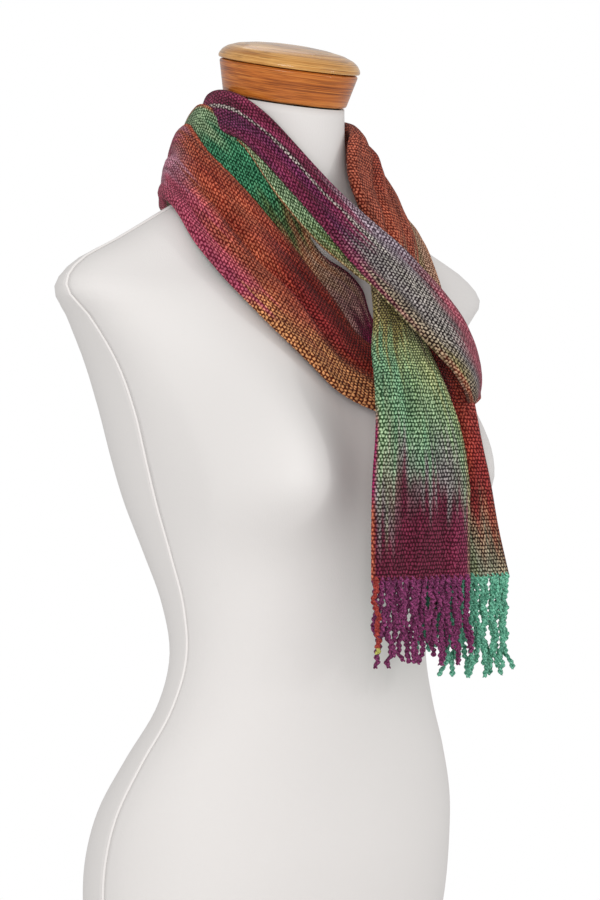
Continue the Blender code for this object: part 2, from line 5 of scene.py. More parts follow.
import bmesh
import bpy
import numpy as np
from mathutils import Matrix, Vector, noise
from mathutils.bvhtree import BVHTree


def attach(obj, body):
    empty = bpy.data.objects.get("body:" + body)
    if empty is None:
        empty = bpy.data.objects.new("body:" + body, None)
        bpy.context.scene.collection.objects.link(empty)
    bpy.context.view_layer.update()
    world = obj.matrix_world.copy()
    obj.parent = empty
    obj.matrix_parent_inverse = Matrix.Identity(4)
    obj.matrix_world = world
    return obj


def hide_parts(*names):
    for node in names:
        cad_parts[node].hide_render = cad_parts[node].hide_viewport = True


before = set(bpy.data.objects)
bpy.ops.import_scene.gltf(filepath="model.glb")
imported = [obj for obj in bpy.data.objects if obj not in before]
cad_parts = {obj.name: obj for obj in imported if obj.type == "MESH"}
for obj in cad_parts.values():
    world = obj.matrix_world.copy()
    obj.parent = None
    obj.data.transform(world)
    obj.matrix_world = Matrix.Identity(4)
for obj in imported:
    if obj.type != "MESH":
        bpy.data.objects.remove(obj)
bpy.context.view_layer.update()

# ---- camera
VIEW_TURN = math.radians(37)
CAMERA_BACK, CAMERA_SIDE, CAMERA_Z = 2.2, 0.0209, 0.6284
LENS, SENSOR = 105.4, 36.0

# ---- lamps: name, place, size, power; and the backdrop's strength as light and as seen
LAMPS = [
    ("key", (1.5, -2.2, 2.2), 1.6, 3),
    ("fill", (-1.60, -1.75, 0.95), 1.2, 24),
    ("back", (1.1, 1.4, 2.8), 0.9, 2.2),
    ("gloss", (1.7, -2.2, 0.95), 0.40, 8),
]
LAMP_TARGET = (0, 0, 0.65)
WORLD_LIGHT, WORLD_SEEN = 0.64, 1.0

# ---- torso, as in the CAD: z, half width, y of the side seam, depth in front, depth behind, and
# the two superellipse powers
TORSO = [
    (0.190, 0.158, 0.008, 0.080, 0.104, 2.2, 2.3),
    (0.250, 0.167, 0.004, 0.092, 0.111, 2.2, 2.3),
    (0.294, 0.168, 0.001, 0.096, 0.108, 2.2, 2.3),
    (0.336, 0.163, -0.008, 0.090, 0.100, 2.2, 2.3),
    (0.378, 0.147, -0.020, 0.082, 0.087, 2.2, 2.3),
    (0.420, 0.126, -0.031, 0.077, 0.076, 2.2, 2.3),
    (0.461, 0.114, -0.035, 0.078, 0.079, 2.2, 2.3),
    (0.503, 0.117, -0.036, 0.084, 0.091, 2.2, 2.4),
    (0.545, 0.127, -0.032, 0.092, 0.105, 2.2, 2.5),
    (0.587, 0.137, -0.026, 0.098, 0.118, 2.2, 2.6),
    (0.620, 0.143, -0.021, 0.098, 0.122, 2.2, 2.7),
    (0.660, 0.151, -0.016, 0.089, 0.123, 2.3, 2.8),
    (0.700, 0.166, -0.012, 0.078, 0.118, 2.4, 2.8),
    (0.735, 0.190, -0.010, 0.064, 0.105, 2.4, 2.6),
    (0.758, 0.210, -0.009, 0.054, 0.086, 2.3, 2.4),
    (0.778, 0.196, -0.007, 0.045, 0.072, 2.2, 2.2),
    (0.798, 0.158, -0.006, 0.043, 0.061, 2.1, 2.1),
    (0.820, 0.118, -0.006, 0.043, 0.056, 2.0, 2.0),
    (0.840, 0.082, -0.008, 0.046, 0.052, 2.0, 2.0),
    (0.860, 0.060, -0.010, 0.049, 0.050, 2.0, 2.0),
    (0.885, 0.052, -0.012, 0.050, 0.050, 2.0, 2.0),
    (0.918, 0.050, -0.013, 0.050, 0.050, 2.0, 2.0),
]
BUST_X, BUST_Z, BUST_OUT = 0.086, 0.614, 0.058
BUST_WIDE, BUST_ABOVE, BUST_BELOW = 0.055, 0.085, 0.052
BUST_SPREAD, BUST_POWER = 0.012, 2.2
NECK_TILT = math.radians(13)
TILT_FROM, TILT_TO = 0.80, 0.90
COLUMNS = 144
RING_GAP = 0.0075
JERSEY, UNDER_JERSEY, SHELL = 0.0011, 0.0004, 0.004
JERSEY_WHITES = ((0.730, 0.702, 0.684), (0.756, 0.730, 0.712))
SEAM_HALF, SEAM_HIGH = 0.0013, 0.0013
HEM_HALF, HEM_HIGH = 0.0028, 0.0006
CAP_FRAME = Matrix.Translation((0.0, -0.013, 0.918)) @ Matrix.Rotation(NECK_TILT, 4, "X")
TURNED_STEPS = 128

# ---- scarf route, near the CAD's: folded edge, open edge, least height over the form, and how far
# the rear flap stands out beyond the front one
ROUTE = [
    # front tail, from its end up
    ((-0.041, -0.182, 0.528), (0.048, -0.192, 0.528), 0.008, 0),
    ((-0.041, -0.182, 0.568), (0.048, -0.192, 0.568), 0.008, 0),
    ((-0.040, -0.182, 0.606), (0.047, -0.192, 0.606), 0.008, 0),
    ((-0.035, -0.180, 0.644), (0.042, -0.188, 0.644), 0.008, 0),
    ((-0.028, -0.170, 0.680), (0.038, -0.174, 0.680), 0.008, 0),
    ((-0.014, -0.148, 0.708), (0.042, -0.150, 0.708), 0.008, 0),
    ((0.006, -0.126, 0.736), (0.052, -0.126, 0.734), 0.008, 0),
    ((0.020, -0.104, 0.768), (0.070, -0.102, 0.764), 0.014, 0),
    # round the wearer's left side of the neck and behind it, next to the neck
    ((0.030, -0.086, 0.812), (0.088, -0.078, 0.798), 0.018, 0),
    ((0.022, -0.073, 0.852), (0.094, -0.049, 0.830), 0.019, 0),
    ((0.034, -0.056, 0.886), (0.097, -0.014, 0.861), 0.020, 0),
    ((0.053, -0.006, 0.905), (0.085, 0.018, 0.876), 0.014, 0),
    ((0.044, 0.036, 0.905), (0.060, 0.054, 0.866), 0.007, 0),
    ((0.000, 0.054, 0.902), (0.000, 0.076, 0.856), 0.0065, 0),
    ((-0.040, 0.040, 0.912), (-0.051, 0.047, 0.873), 0.0060, 0),
    ((-0.0565, 0.008, 0.924), (-0.063, 0.009, 0.888), 0.0065, 0),
    # upper strand of the loop, down across the front
    ((-0.0560, -0.028, 0.917), (-0.061, -0.031, 0.883), 0.0065, 0.003),
    ((-0.0480, -0.051, 0.901), (-0.056, -0.052, 0.867), 0.0065, 0.008),
    ((-0.032, -0.068, 0.876), (-0.044, -0.073, 0.842), 0.0065, 0.014),
    ((-0.008, -0.087, 0.842), (-0.022, -0.093, 0.808), 0.0070, 0.014),
    ((0.018, -0.102, 0.814), (-0.008, -0.114, 0.778), 0.0080, 0.005),
    ((0.040, -0.116, 0.792), (0.004, -0.132, 0.756), 0.009, 0),
    ((0.056, -0.128, 0.770), (0.016, -0.150, 0.734), 0.009, 0),
    ((0.070, -0.138, 0.750), (0.029, -0.167, 0.712), 0.009, 0),
    ((0.080, -0.144, 0.733), (0.038, -0.180, 0.696), 0.009, 0),
    ((0.089, -0.146, 0.715), (0.047, -0.187, 0.681), 0.009, 0),
    # the bend at the end of the loop
    ((0.101, -0.138, 0.699), (0.060, -0.179, 0.668), 0.009, 0),
    ((0.109, -0.131, 0.684), (0.074, -0.162, 0.664), 0.009, 0),
    ((0.102, -0.127, 0.664), (0.078, -0.142, 0.672), 0.009, 0),
    ((0.083, -0.138, 0.652), (0.070, -0.128, 0.690), 0.009, 0),
    # lower strand of the loop, behind the tails and up to the wearer's right shoulder
    ((0.061, -0.149, 0.650), (0.054, -0.120, 0.700), 0.009, 0.006),
    ((0.034, -0.140, 0.652), (0.038, -0.114, 0.706), 0.009, 0.014),
    ((0.004, -0.130, 0.660), (0.022, -0.106, 0.710), 0.009, 0.028),
    ((-0.024, -0.121, 0.674), (0.010, -0.096, 0.722), 0.009, 0.046),
    ((-0.050, -0.110, 0.698), (-0.002, -0.084, 0.748), 0.009, 0.040),
    ((-0.070, -0.096, 0.724), (-0.015, -0.068, 0.774), 0.009, 0.027),
    ((-0.085, -0.083, 0.744), (-0.032, -0.062, 0.796), 0.009, 0.029),
    ((-0.101, -0.066, 0.768), (-0.055, -0.056, 0.822), 0.009, 0.037),
    ((-0.116, -0.048, 0.796), (-0.071, -0.042, 0.846), 0.009, 0.039),
    ((-0.117, -0.022, 0.820), (-0.082, -0.016, 0.872), 0.010, 0.034),
    ((-0.106, 0.012, 0.834), (-0.079, 0.012, 0.896), 0.011, 0.020),
    # behind the neck, outside the first strand
    ((-0.086, 0.040, 0.834), (-0.069, 0.040, 0.892), 0.012, 0.006),
    ((-0.056, 0.078, 0.826), (-0.048, 0.070, 0.882), 0.015, 0),
    ((0.000, 0.098, 0.822), (0.000, 0.086, 0.874), 0.018, 0),
    ((0.068, 0.092, 0.818), (0.058, 0.082, 0.862), 0.019, 0),
    # under the first strand on the wearer's left, and down to the rear tail
    ((0.112, 0.050, 0.808), (0.098, 0.046, 0.840), 0.012, 0),
    ((0.124, 0.000, 0.824), (0.092, 0.000, 0.842), 0.008, 0),
    ((0.124, -0.038, 0.806), (0.088, -0.036, 0.826), 0.008, 0),
    ((0.117, -0.066, 0.780), (0.078, -0.060, 0.792), 0.008, 0),
    ((0.110, -0.086, 0.756), (0.070, -0.078, 0.764), 0.008, 0),
    ((0.100, -0.108, 0.730), (0.058, -0.096, 0.736), 0.008, 0),
    ((0.083, -0.144, 0.700), (0.043, -0.130, 0.704), 0.008, 0),
    ((0.071, -0.171, 0.666), (0.028, -0.156, 0.668), 0.008, 0),
    ((0.071, -0.180, 0.634), (0.018, -0.166, 0.634), 0.008, 0),
    ((0.078, -0.182, 0.604), (0.012, -0.170, 0.604), 0.008, 0),
    ((0.086, -0.182, 0.568), (0.008, -0.170, 0.568), 0.008, 0),
    ((0.098, -0.182, 0.528), (0.010, -0.170, 0.528), 0.008, 0),
]
CLOTH = 0.0017
# one flap's width, and the least (m) and most (share of the strip) that its edge is tucked in
FLAP = 0.089
TUCK_LEAST, TUCK_MOST = 0.003, 0.62
STATION_GAP = 0.003
# the weave's own spacing, and how far its threads wander, in radians of one dot
WEFT_GAP, WARP_GAP = 0.0030, 0.0026
WEFT_WANDER, WARP_WANDER = 3.4, 2.6
TUCK_POINTS, FRONT_POINTS, NOSE_POINTS, REAR_POINTS = 5, 44, 4, 24
LAYER = 0.0026
# shares across the strip: the fold's start, and the step at which its height over the form is set
NOSE, LANE = 0.05, 0.05

# ---- fringe yarn: step along a strand, a ply's half width, the length of one turn of the twist, and
# the knot's place and half length
STRAND_STEP = 0.0014
PLY, TWIST = 0.00145, 0.0085
KNOT_AT, KNOT_HALF = 0.0045, 0.0018
FRINGE_DEPTH = 0.005

# how far the outer layer stands up between its edges: row, height
BULGE = [
    (0, 0.0012), (4, 0.0020), (7, 0.0030), (9, 0.0050), (11, 0.0055), (14, 0.0018), (16, 0.0020),
    (18, 0.0038), (21, 0.0060), (24, 0.0060), (26, 0.0040), (28, 0.0015), (32, 0.0015), (35, 0.0048),
    (37, 0.0040), (39, 0.0028), (41, 0.0028), (44, 0.0050), (46, 0.0025), (49, 0.0010), (56, 0.0012),
]
# least height over the form at the folded edge, where it differs, and under the rear flap's edge
FOLD_HEIGHT = [(7, 0.014), (8, 0.009), (9, 0.006), (10, 0.006), (11, 0.008), (12, 0.007)]
LIP_HEIGHT = [(14, 0.006), (35, 0.006), (36.2, 0.010), (37, 0.0125), (40, 0.0125), (42, 0.014)]
# creases that run along the cloth: first and last row, share across at each, depth, half width
CREASES = [
    (-1, 6, 0.30, 0.36, 0.0012, 0.0060),
    (-1, 5, 0.72, 0.62, 0.0010, 0.0070),
    (6, 15, 0.34, 0.42, 0.0040, 0.0045),
    (7, 13, 0.72, 0.66, 0.0030, 0.0040),
    (15, 20, 0.70, 0.62, 0.0022, 0.0040),
    (19, 25, 0.26, 0.20, 0.0030, 0.0040),
    (20, 24, 0.78, 0.84, 0.0024, 0.0035),
    (30, 40, 0.46, 0.52, 0.0058, 0.0048),
    (33, 38, 0.82, 0.78, 0.0016, 0.0040),
    (36, 44, 0.20, 0.26, 0.0030, 0.0045),
    (39, 46, 0.60, 0.56, 0.0040, 0.0045),
    (49, 57, 0.34, 0.42, 0.0014, 0.0050),
]

# dyes: ground and raised dots, as 8-bit sRGB
DYES = {
    "wine": ((54, 6, 22), (120, 44, 68)),
    "plum": ((84, 14, 44), (166, 70, 104)),
    "grape": ((50, 8, 32), (124, 58, 98)),
    "sage": ((60, 58, 44), (172, 176, 154)),
    "fern": ((46, 72, 40), (170, 196, 154)),
    "leaf": ((52, 72, 40), (168, 196, 140)),
    "lime": ((72, 84, 42), (200, 208, 150)),
    "jade": ((34, 70, 44), (146, 192, 150)),
    "slate": ((44, 36, 40), (158, 150, 148)),
    "olive": ((64, 54, 18), (176, 162, 98)),
    "bark": ((34, 20, 12), (178, 158, 128)),
    "soot": ((34, 24, 24), (206, 198, 188)),
    "lilac": ((70, 54, 66), (184, 168, 178)),
    "rose": ((112, 40, 56), (190, 112, 124)),
    "salmon": ((132, 48, 42), (214, 132, 116)),
    "rust": ((88, 22, 10), (190, 104, 80)),
    "ember": ((112, 34, 18), (208, 116, 84)),
    "crimson": ((76, 8, 12), (166, 64, 62)),
    "garnet": ((62, 6, 8), (136, 38, 34)),
    "scarlet": ((90, 14, 8), (178, 80, 62)),
    "flame": ((164, 58, 34), (230, 124, 90)),
    "gold": ((84, 32, 14), (226, 158, 104)),
    "pink": ((112, 26, 50), (204, 98, 122)),
    "mallow": ((134, 72, 90), (216, 162, 180)),
    "forest": ((6, 58, 34), (84, 160, 118)),
    "moss": ((38, 50, 22), (118, 136, 82)),
    "straw": ((84, 80, 44), (184, 178, 134)),
    "tan": ((124, 60, 34), (222, 164, 124)),
    "mauve": ((84, 42, 46), (206, 156, 150)),
    "berry": ((92, 4, 46), (180, 46, 106)),
    "cocoa": ((88, 52, 32), (212, 172, 146)),
    "purple": ((62, 8, 42), (170, 80, 134)),
    "teal": ((44, 116, 92), (150, 226, 194)),
    "red yarn": ((110, 22, 28), (196, 84, 72)),
    "pale yarn": ((150, 150, 50), (224, 220, 130)),
}
# the dyes along the scarf: row, then five across the outer flap from the folded edge to the open
# edge, then the inner flap
DYE_PLAN = [
    (0.7, "wine wine wine wine plum wine"),
    (1.3, "slate wine wine wine plum wine"),
    (1.9, "sage wine slate slate sage rust"),
    (2.5, "fern slate jade slate fern rust"),
    (3.3, "fern jade fern fern leaf rust"),
    (4.2, "jade jade leaf lime lime rust"),
    (4.9, "jade leaf lime lime olive rust"),
    (5.6, "olive olive olive bark bark rust"),
    (7.0, "bark olive bark bark bark rust"),
    (7.8, "rust rust ember rust ember rust"),
    (10.0, "rust rust scarlet rust ember rust"),
    (12.5, "crimson rust rust rust crimson crimson"),
    (14.5, "wine plum wine wine grape fern"),
    (16.0, "plum wine grape grape plum straw"),
    (17.4, "wine plum grape plum grape fern"),
    (18.6, "plum wine grape wine plum fern"),
    (19.4, "lilac plum plum grape wine moss"),
    (20.3, "lilac lilac slate slate plum straw"),
    (21.2, "lilac lilac soot slate bark straw"),
    (22.2, "rose slate soot slate bark straw"),
    (23.2, "rose rose slate soot bark olive"),
    (24.4, "rose rose rose slate olive olive"),
    (25.6, "rose rose rose slate bark olive"),
    (27.0, "rose rose rose rose bark crimson"),
    (28.4, "salmon salmon rust scarlet crimson berry"),
    (31.0, "gold gold scarlet garnet crimson berry"),
    (32.6, "gold gold scarlet garnet scarlet wine"),
    (33.4, "gold gold crimson garnet scarlet mauve"),
    (34.6, "gold rust crimson garnet scarlet cocoa"),
    (35.6, "gold ember scarlet garnet scarlet tan"),
    (36.3, "pink rust ember crimson ember moss"),
    (37.4, "pink rust scarlet ember scarlet forest"),
    (38.6, "pink pink ember scarlet ember forest"),
    (39.6, "pink pink mallow rust rust fern"),
    (40.6, "pink mallow mallow pink mallow fern"),
    (42.5, "mauve mallow pink mauve mauve mauve"),
    (44.5, "cocoa tan gold mauve cocoa cocoa"),
    (47.0, "tan cocoa straw olive rust cocoa"),
    (49.0, "cocoa cocoa olive rust rust crimson"),
    (50.5, "salmon scarlet crimson scarlet crimson crimson"),
    (53.0, "crimson scarlet crimson crimson crimson crimson"),
    (54.2, "crimson crimson rust crimson rust rust"),
    (55.0, "rust bark crimson bark crimson olive"),
    (55.8, "bark sage moss bark moss moss"),
    (57.0, "sage moss bark sage moss moss"),
]
OUTER_SELVAGE = [
    (-1, "plum"), (3, "lime"), (6, "bark"), (8, "rust"), (15, "wine"), (20, "plum"), (23, "bark"),
    (29, "flame"), (40, "flame"), (43, "mauve"), (57, "moss"),
]
INNER_SELVAGE = [
    (-1, "ember"), (15, "flame"), (21, "straw"), (30, "berry"), (34.6, "berry"), (35.5, "straw"),
    (36.3, "ember"), (40.5, "flame"), (43, "mauve"), (57, "berry"),
]
# single bright threads: first and last row, share across at each, half width as a share, dye
THREADS = [(14, 21, 0.34, 0.42, 0.040, "soot"), (0.4, 3.6, 0.07, 0.07, 0.016, "sage")]
FOLD_EDGE = [(-1, "ember"), (1.3, "ember"), (1.7, "berry"), (3.0, "berry"), (3.6, "fern")]


# ------------------------------------------------------------------ small helpers
def linear(colour):
    share = np.array(colour, float) / 255
    return np.where(share <= 0.04045, share / 12.92, ((share + 0.055) / 1.055) ** 2.4)


def spline(rows, where):
    rows = np.array(rows, float)
    at = rows[:, 0]
    slope = np.gradient(rows[:, 1:], at, axis=0)
    i = np.clip(np.searchsorted(at, where, "right") - 1, 0, len(at) - 2)
    span = at[i + 1] - at[i]
    t = ((where - at[i]) / span)[:, None]
    span = span[:, None]
    low, high = rows[i, 1:], rows[i + 1, 1:]
    return (
        low * (2 * t**3 - 3 * t**2 + 1)
        + high * (3 * t**2 - 2 * t**3)
        + slope[i] * span * (t**3 - 2 * t**2 + t)
        + slope[i + 1] * span * (t**3 - t**2)
    )


def smooth(low, high, value):
    t = min(1.0, max(0.0, (value - low) / (high - low)))
    return t * t * (3 - 2 * t)


def unit(vectors):
    return vectors / np.linalg.norm(vectors, axis=-1, keepdims=True)


def grid_faces(rows, columns, closed=False):
    faces = []
    for r in range(rows - 1):
        for c in range(columns if closed else columns - 1):
            a, b = r * columns + c, r * columns + (c + 1) % columns
            faces.append((a, a + columns, b + columns, b))
    return faces


def piece(name, points, faces, material, body, slot, *nodes):
    """A smooth-shaded mesh that rides on a body and stands for some CAD nodes."""
    mesh = bpy.data.meshes.new(name)
    mesh.from_pydata([tuple(p) for p in points], [], faces)
    mesh.shade_smooth()
    mesh.materials.append(material)
    obj = bpy.data.objects.new(name, mesh)
    bpy.context.scene.collection.objects.link(obj)
    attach(obj, body)
    if nodes:
        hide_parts(*nodes)
    return obj


def thicken(obj, thickness, offset):
    wall = obj.modifiers.new("wall", "SOLIDIFY")
    wall.thickness = thickness
    wall.offset = offset


# ------------------------------------------------------------------ node helpers
class Nodes:
    """A material's node tree, with short calls for what the materials here need."""

    def __init__(self, name, roughness, **values):
        self.material = bpy.data.materials.new(name)
        self.material.use_nodes = True
        self.tree = self.material.node_tree
        self.shader = self.tree.nodes["Principled BSDF"]
        self.shader.inputs["Roughness"].default_value = roughness
        for key, value in values.items():
            self.shader.inputs[key.replace("_", " ")].default_value = value

    def add(self, kind, **settings):
        node = self.tree.nodes.new(kind)
        for key, value in settings.items():
            setattr(node, key, value)
        return node

    def wire(self, source, target):
        self.tree.links.new(source, target)
        return source

    def math(self, operation, first, second=0.0, third=0.0):
        node = self.add("ShaderNodeMath", operation=operation)
        for socket, value in zip(node.inputs, (first, second, third)):
            if isinstance(value, (int, float)):
                socket.default_value = value
            else:
                self.wire(value, socket)
        return node.outputs[0]

    def mapped(self, vector, scale):
        move = self.add("ShaderNodeMapping")
        move.inputs["Scale"].default_value = scale
        self.wire(vector, move.inputs["Vector"])
        return move.outputs["Vector"]

    def place(self, scale=(1, 1, 1)):
        return self.mapped(self.add("ShaderNodeTexCoord").outputs["Object"], scale)

    def clamped(self, value):
        node = self.add("ShaderNodeClamp")
        self.wire(value, node.inputs["Value"])
        return node.outputs[0]

    def wave(self, value, length, wander):
        """A row of rounded humps, one each length, set a little unevenly."""
        turn = self.math("MULTIPLY_ADD", value, math.pi / length, wander)
        return self.math("ABSOLUTE", self.math("SINE", turn))

    def noise(self, vector, scale, detail=3.0, rough=0.55):
        node = self.add("ShaderNodeTexNoise")
        node.inputs["Scale"].default_value = scale
        node.inputs["Detail"].default_value = detail
        node.inputs["Roughness"].default_value = rough
        self.wire(vector, node.inputs["Vector"])
        return node.outputs["Fac"]

    def ramp(self, value, *stops):
        node = self.add("ShaderNodeValToRGB")
        elements = node.color_ramp.elements
        while len(elements) < len(stops):
            elements.new(0.5)
        for element, (at, colour) in zip(elements, stops):
            element.position = at
            element.color = (*colour, 1.0)
        self.wire(value, node.inputs["Fac"])
        return node.outputs["Color"]

    def mix(self, share, first, second, blend="MIX"):
        node = self.add("ShaderNodeMix", data_type="RGBA", blend_type=blend)
        sockets = (node.inputs[0], node.inputs[6], node.inputs[7])
        for socket, value in zip(sockets, (share, first, second)):
            if isinstance(value, (int, float)):
                socket.default_value = value
            elif isinstance(value, tuple):
                socket.default_value = (*value, 1.0)
            else:
                self.wire(value, socket)
        return node.outputs[2]

    def bump(self, height, distance, strength=1.0):
        node = self.add("ShaderNodeBump")
        node.inputs["Strength"].default_value = strength
        node.inputs["Distance"].default_value = distance
        self.wire(height, node.inputs["Height"])
        self.wire(node.outputs["Normal"], self.shader.inputs["Normal"])

    def colour(self, source):
        self.wire(source, self.shader.inputs["Base Color"])

    def rough(self, source, low, high):
        node = self.add("ShaderNodeMapRange")
        node.inputs["To Min"].default_value = low
        node.inputs["To Max"].default_value = high
        self.wire(source, node.inputs["Value"])
        self.wire(node.outputs["Result"], self.shader.inputs["Roughness"])


def jersey_look(name="white_jersey", lightness=1.0):
    n = Nodes(name, 0.85, Sheen_Weight=0.15, Sheen_Roughness=0.6, Specular_IOR_Level=0.2)
    fine = n.noise(n.place(scale=(1, 1, 0.55)), 900, 1)
    broad = n.noise(n.place(), 14, 3)
    # lightness above 1 lightens both whites evenly; the seam welts use it as a painted highlight along
    # their raised line
    shaded, plain = (tuple(lightness * c for c in colour) for colour in JERSEY_WHITES)
    n.colour(n.mix(n.math("MULTIPLY", broad, 0.5), shaded, plain))
    n.bump(fine, 0.0003, 0.35)
    return n.material


def weave_look():
    """Plain weave from the cloth's own coordinates: raised dots over a darker ground."""
    n = Nodes("woven_chenille", 0.9, Sheen_Weight=0.06, Sheen_Roughness=0.5, Specular_IOR_Level=0.1)
    uv = n.add("ShaderNodeUVMap", uv_map="weave").outputs["UV"]
    split = n.add("ShaderNodeSeparateXYZ")
    n.wire(uv, split.inputs[0])
    along, across = split.outputs["X"], split.outputs["Y"]
    drift = n.noise(n.mapped(uv, (110, 110, 1)), 1.0, 3)
    uneven = n.math("MULTIPLY", drift, WEFT_WANDER / math.pi)
    line = n.math("FLOOR", n.math("MULTIPLY_ADD", along, 1 / WEFT_GAP, uneven))
    stagger = n.math("MULTIPLY_ADD", line, math.pi / 2, n.math("MULTIPLY", drift, WARP_WANDER))
    picks = n.wave(along, WEFT_GAP, n.math("MULTIPLY", drift, WEFT_WANDER))
    weave = n.math("MULTIPLY", picks, n.wave(across, WARP_GAP, stagger))
    speck = n.noise(n.mapped(uv, (420, 520, 1)), 1.0, 1)
    warp = n.noise(n.mapped(uv, (14, 620, 1)), 1.0, 2)
    weft = n.noise(n.mapped(uv, (520, 16, 1)), 1.0, 2)
    dots = n.clamped(n.math("MULTIPLY_ADD", weave, 1.9, n.math("MULTIPLY_ADD", speck, 4.4, -2.66)))
    ground = n.add("ShaderNodeAttribute", attribute_name="ground").outputs["Color"]
    light = n.add("ShaderNodeAttribute", attribute_name="dots").outputs["Color"]
    colour = n.mix(dots, ground, light)
    shade = n.ramp(warp, (0.30, (0.62, 0.62, 0.62)), (0.68, (1.25, 1.25, 1.25)))
    bars = n.ramp(weft, (0.30, (0.66, 0.66, 0.66)), (0.70, (1.28, 1.28, 1.28)))
    colour = n.mix(0.8, colour, shade, "MULTIPLY")
    colour = n.mix(0.8, colour, bars, "MULTIPLY")
    n.colour(colour)
    fuzz = n.noise(n.place(), 1500, 2)
    height = n.math("MULTIPLY_ADD", fuzz, 0.45, weave)
    n.bump(height, 0.0009, 0.9)
    return n.material


def yarn_look():
    n = Nodes("chenille_yarn", 0.9, Sheen_Weight=0.08, Sheen_Roughness=0.5, Specular_IOR_Level=0.1)
    ground = n.add("ShaderNodeAttribute", attribute_name="ground").outputs["Color"]
    light = n.add("ShaderNodeAttribute", attribute_name="dots").outputs["Color"]
    fuzz = n.noise(n.place(), 700, 3, 0.7)
    n.colour(n.mix(n.ramp(fuzz, (0.40, (0, 0, 0)), (0.66, (1, 1, 1))), ground, light))
    n.bump(n.noise(n.place(), 1300, 3, 0.7), 0.0008, 0.9)
    return n.material


def wood_look(name, tones, coat):
    n = Nodes(name, 0.32, Coat_Weight=coat, Coat_Roughness=0.12, Specular_IOR_Level=0.2)
    grain = n.noise(n.place(scale=(7, 26, 900)), 1.0, 4, 0.65)
    figure = n.noise(n.place(scale=(4, 9, 70)), 1.0, 3)
    pores = n.noise(n.place(scale=(30, 60, 1500)), 1.0, 2, 0.5)
    both = n.math("MULTIPLY_ADD", grain, 0.75, n.math("MULTIPLY", figure, 0.35))
    tone = n.ramp(both, *zip((0.38, 0.53, 0.68), tones))
    lines = n.ramp(pores, (0.34, (0.42, 0.36, 0.30)), (0.46, (1, 1, 1)))
    n.colour(n.mix(0.75, tone, lines, "MULTIPLY"))
    n.rough(grain, 0.26, 0.42)
    n.bump(grain, 0.0001, 0.15)
    return n.material


def pale_wood_look():
    n = Nodes("pale_wood", 0.6)
    grain = n.noise(n.place(scale=(8, 90, 160)), 1.0, 4, 0.6)
    n.colour(n.ramp(grain, (0.30, (0.50, 0.32, 0.15)), (0.70, (0.74, 0.54, 0.32))))
    n.bump(grain, 0.0002, 0.3)
    return n.material


def metal_look(name, low, high, rough_low, rough_high, scale):
    n = Nodes(name, 0.3, Metallic=1.0)
    marks = n.noise(n.place(scale=scale), 1.0, 3, 0.6)
    n.colour(n.ramp(marks, (0.3, low), (0.7, high)))
    n.rough(marks, rough_low, rough_high)
    n.bump(marks, 0.00005, 0.2)
    return n.material


def plain_look(name, low, high, roughness, scale, depth, **values):
    n = Nodes(name, roughness, **values)
    marks = n.noise(n.place(), scale, 3, 0.6)
    n.colour(n.ramp(marks, (0.3, low), (0.7, high)))
    n.rough(marks, roughness - 0.06, roughness + 0.06)
    n.bump(marks, depth, 0.4)
    return n.material


# ------------------------------------------------------------------ torso
def torso_ring(z, count):
    """Points round the torso at one height, from the wearer's left seam towards the front."""
    half, side, front, back, n_front, n_back = spline(TORSO, np.array([z]))[0]
    ring = []
    for i in range(count):
        turn = 2 * math.pi * i / count
        c, s = math.cos(turn), math.sin(turn)
        power = 2 / (n_front if s >= 0 else n_back)
        x = half * math.copysign(abs(c) ** power, c)
        y = side - (front if s >= 0 else back) * math.copysign(abs(s) ** power, s)
        if s > 1e-6:
            reach = BUST_ABOVE if z > BUST_Z else BUST_BELOW
            share = min(1.0, 2.5 * s)
            base = x
            above = abs((z - BUST_Z) / reach) ** BUST_POWER
            for way in (-1, 1):
                bump = math.exp(-(((base - way * BUST_X) / BUST_WIDE) ** 2) - above)
                y -= BUST_OUT * bump * share
                x += way * BUST_SPREAD * bump * share
        lean = smooth(TILT_FROM, TILT_TO, z) * (y - side) * math.tan(NECK_TILT)
        ring.append((x, y, z + lean))
    return ring


def torso_grid():
    low, high = TORSO[0][0], TORSO[-1][0]
    count = int((high - low) / RING_GAP)
    return np.array([torso_ring(z, COLUMNS) for z in np.linspace(low, high, count)])


def evened(grid):
    """Evens out each ring's spacing, so that the cloth's mesh has no crowded or stretched parts."""
    rings = []
    for ring in grid:
        closed = np.vstack([ring, ring[:1]])
        halves = []
        for part in (closed[: COLUMNS // 2 + 1], closed[COLUMNS // 2 :]):
            run = np.concatenate([[0], np.cumsum(np.linalg.norm(np.diff(part, axis=0), axis=1))])
            want = np.linspace(0, run[-1], COLUMNS // 2 + 1)
            halves.append(np.column_stack([np.interp(want, run, part[:, k]) for k in range(3)]))
        rings.append(np.vstack([halves[0][:-1], halves[1][:-1]]))
    return np.array(rings)


def grid_normals(grid):
    round_it = np.roll(grid, -1, axis=1) - np.roll(grid, 1, axis=1)
    out = np.cross(np.gradient(grid, axis=0), round_it)
    neck = np.array(CAP_FRAME.to_3x3() @ Vector((0, 0, 1)))
    out[0, :, 2] = 0.0
    out[-1] -= (out[-1] @ neck)[:, None] * neck
    return unit(out)


def build_shell(grid, look):
    """The moulded wall under the jersey."""
    outer = grid - (JERSEY + UNDER_JERSEY) * grid_normals(grid)
    faces = grid_faces(*outer.shape[:2], True)
    obj = piece("form_shell", outer.reshape(-1, 3), faces, look, "torso", "shell_board", "torso_shell")
    thicken(obj, SHELL, -1)


def build_jersey(grid, look):
    half = COLUMNS // 2
    parts = {
        "jersey_front_cloth": (list(range(half + 1)), "jersey_front"),
        "jersey_back_cloth": (list(range(half, COLUMNS)) + [0], "jersey_back"),
    }
    for name, (columns, node) in parts.items():
        outer = grid[:, columns]
        faces = grid_faces(*outer.shape[:2])
        obj = piece(name, outer.reshape(-1, 3), faces, look, "torso", "white_jersey", node)
        thicken(obj, JERSEY, -1)


